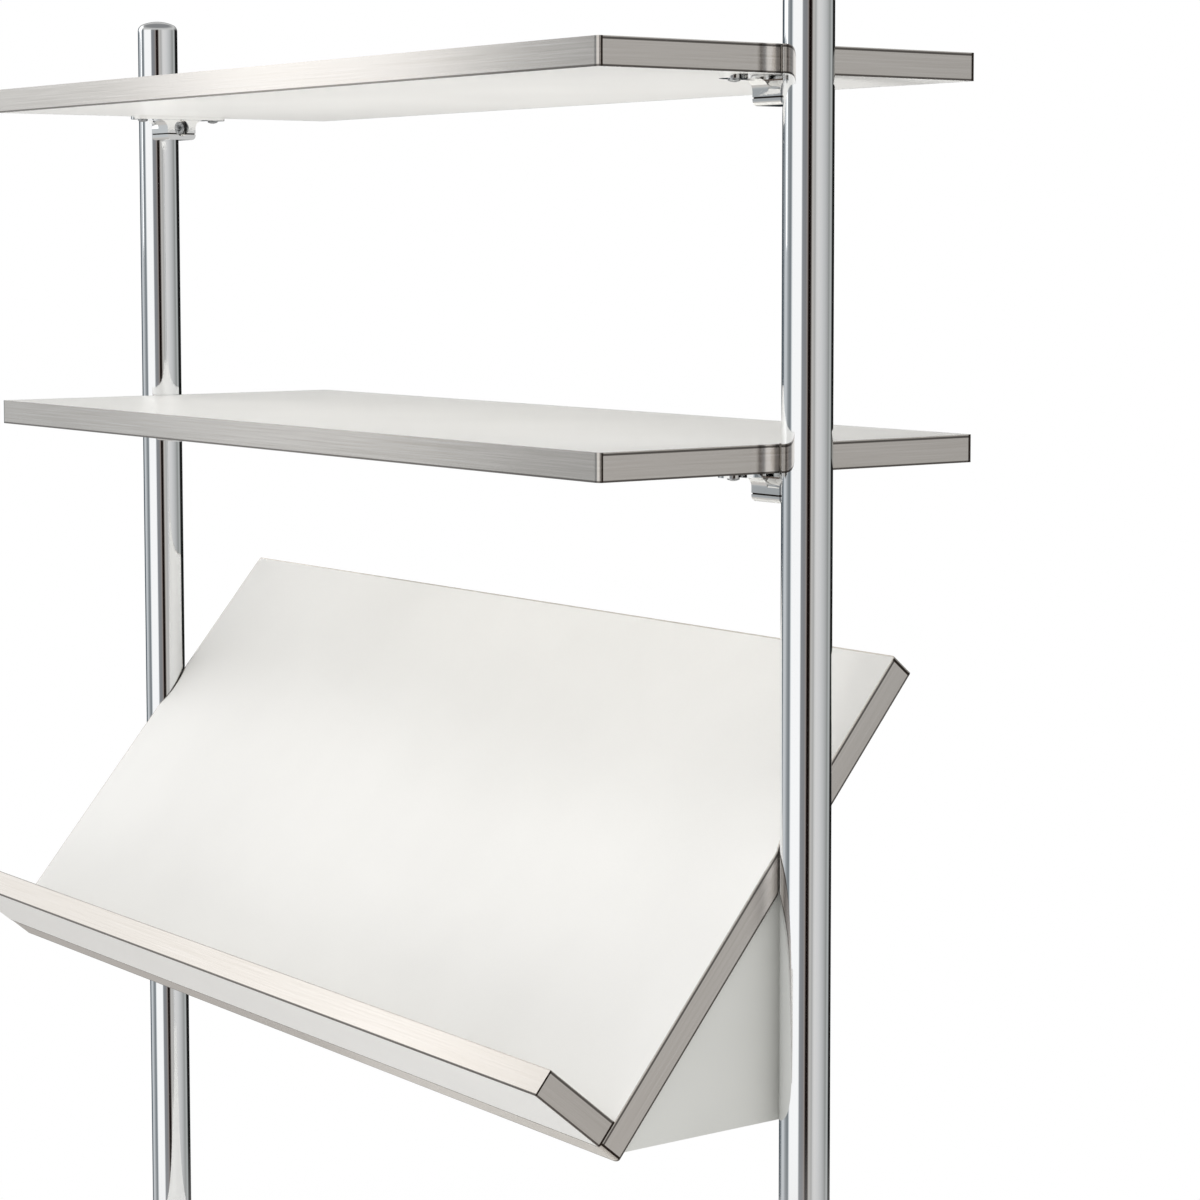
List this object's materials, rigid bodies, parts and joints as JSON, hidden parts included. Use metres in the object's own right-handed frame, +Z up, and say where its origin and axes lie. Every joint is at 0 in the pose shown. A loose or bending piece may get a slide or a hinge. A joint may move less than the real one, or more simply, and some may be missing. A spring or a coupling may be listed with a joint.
{
  "type": "bookcase",
  "caption": "Free-standing display bookcase: chrome posts on crosswise feet carry flat shelves on cast brackets and a tilted magazine shelf with a front lip.",
  "frame": {"origin": "on the floor, under the middle of the unit", "axes": "+X along the shelves to the right seen from the front, +Y to the back, +Z up along the posts"},
  "size_m": [0.8754, 0.4, 1.5],
  "materials": {
    "tube_chrome": "polished chrome plate on steel tube",
    "cast_chrome": "polished chrome plate on a zinc casting",
    "edge_steel": "satin stainless band, brushed along its length",
    "white_laminate": "off-white satin laminate on particle board",
    "grey_paint": "smooth light grey powder coat",
    "zinc_plate": "zinc plated",
    "dark_plastic": "fine grained moulded plastic"
  },
  "bodies": {
    "frame": {"left_post": "tube_chrome", "right_post": "tube_chrome", "left_post_cap": "tube_chrome", "right_post_cap": "tube_chrome", "left_post_plug": "zinc_plate", "right_post_plug": "zinc_plate", "left_post_inserts": "zinc_plate", "right_post_inserts": "zinc_plate", "shelf_1_board": "white_laminate", "shelf_1_edge_band": "edge_steel", "shelf_1_left_bracket": "cast_chrome", "shelf_1_right_bracket": "cast_chrome", "shelf_1_wood_screws": "zinc_plate", "shelf_1_clamp_screws": "zinc_plate", "shelf_2_board": "white_laminate", "shelf_2_edge_band": "edge_steel", "shelf_2_left_bracket": "cast_chrome", "shelf_2_right_bracket": "cast_chrome", "shelf_2_wood_screws": "zinc_plate", "shelf_2_clamp_screws": "zinc_plate", "shelf_3_board": "white_laminate", "shelf_3_edge_band": "edge_steel", "shelf_3_left_bracket": "cast_chrome", "shelf_3_right_bracket": "cast_chrome", "shelf_3_wood_screws": "zinc_plate", "shelf_3_clamp_screws": "zinc_plate", "shelf_4_board": "white_laminate", "shelf_4_edge_band": "edge_steel", "shelf_4_left_bracket": "cast_chrome", "shelf_4_right_bracket": "cast_chrome", "shelf_4_wood_screws": "zinc_plate", "shelf_4_clamp_screws": "zinc_plate", "tilted_board": "white_laminate", "tilted_edge_band": "edge_steel", "lip_board": "white_laminate", "lip_edge_band": "edge_steel", "lip_screws": "zinc_plate", "left_gusset": "grey_paint", "right_gusset": "grey_paint", "gusset_wood_screws": "zinc_plate", "gusset_clamp_screws": "zinc_plate", "left_foot": "tube_chrome", "right_foot": "tube_chrome", "left_foot_caps": "dark_plastic", "right_foot_caps": "dark_plastic", "foot_bolts": "zinc_plate", "glide_inserts": "zinc_plate"},
    "front_left_leveller": {"front_left_glide": "zinc_plate", "front_left_pad": "dark_plastic"},
    "front_right_leveller": {"front_right_glide": "zinc_plate", "front_right_pad": "dark_plastic"},
    "back_left_leveller": {"back_left_glide": "zinc_plate", "back_left_pad": "dark_plastic"},
    "back_right_leveller": {"back_right_glide": "zinc_plate", "back_right_pad": "dark_plastic"}
  },
  "joints": [
    {"name": "front_left_level", "type": "slide", "parent": "frame", "child": "front_left_leveller", "axis": [0, 0, 1], "range_m": [0, 0.008]},
    {"name": "front_right_level", "type": "slide", "parent": "frame", "child": "front_right_leveller", "axis": [0, 0, 1], "range_m": [0, 0.008]},
    {"name": "back_left_level", "type": "slide", "parent": "frame", "child": "back_left_leveller", "axis": [0, 0, 1], "range_m": [0, 0.008]},
    {"name": "back_right_level", "type": "slide", "parent": "frame", "child": "back_right_leveller", "axis": [0, 0, 1], "range_m": [0, 0.008]}
  ]
}
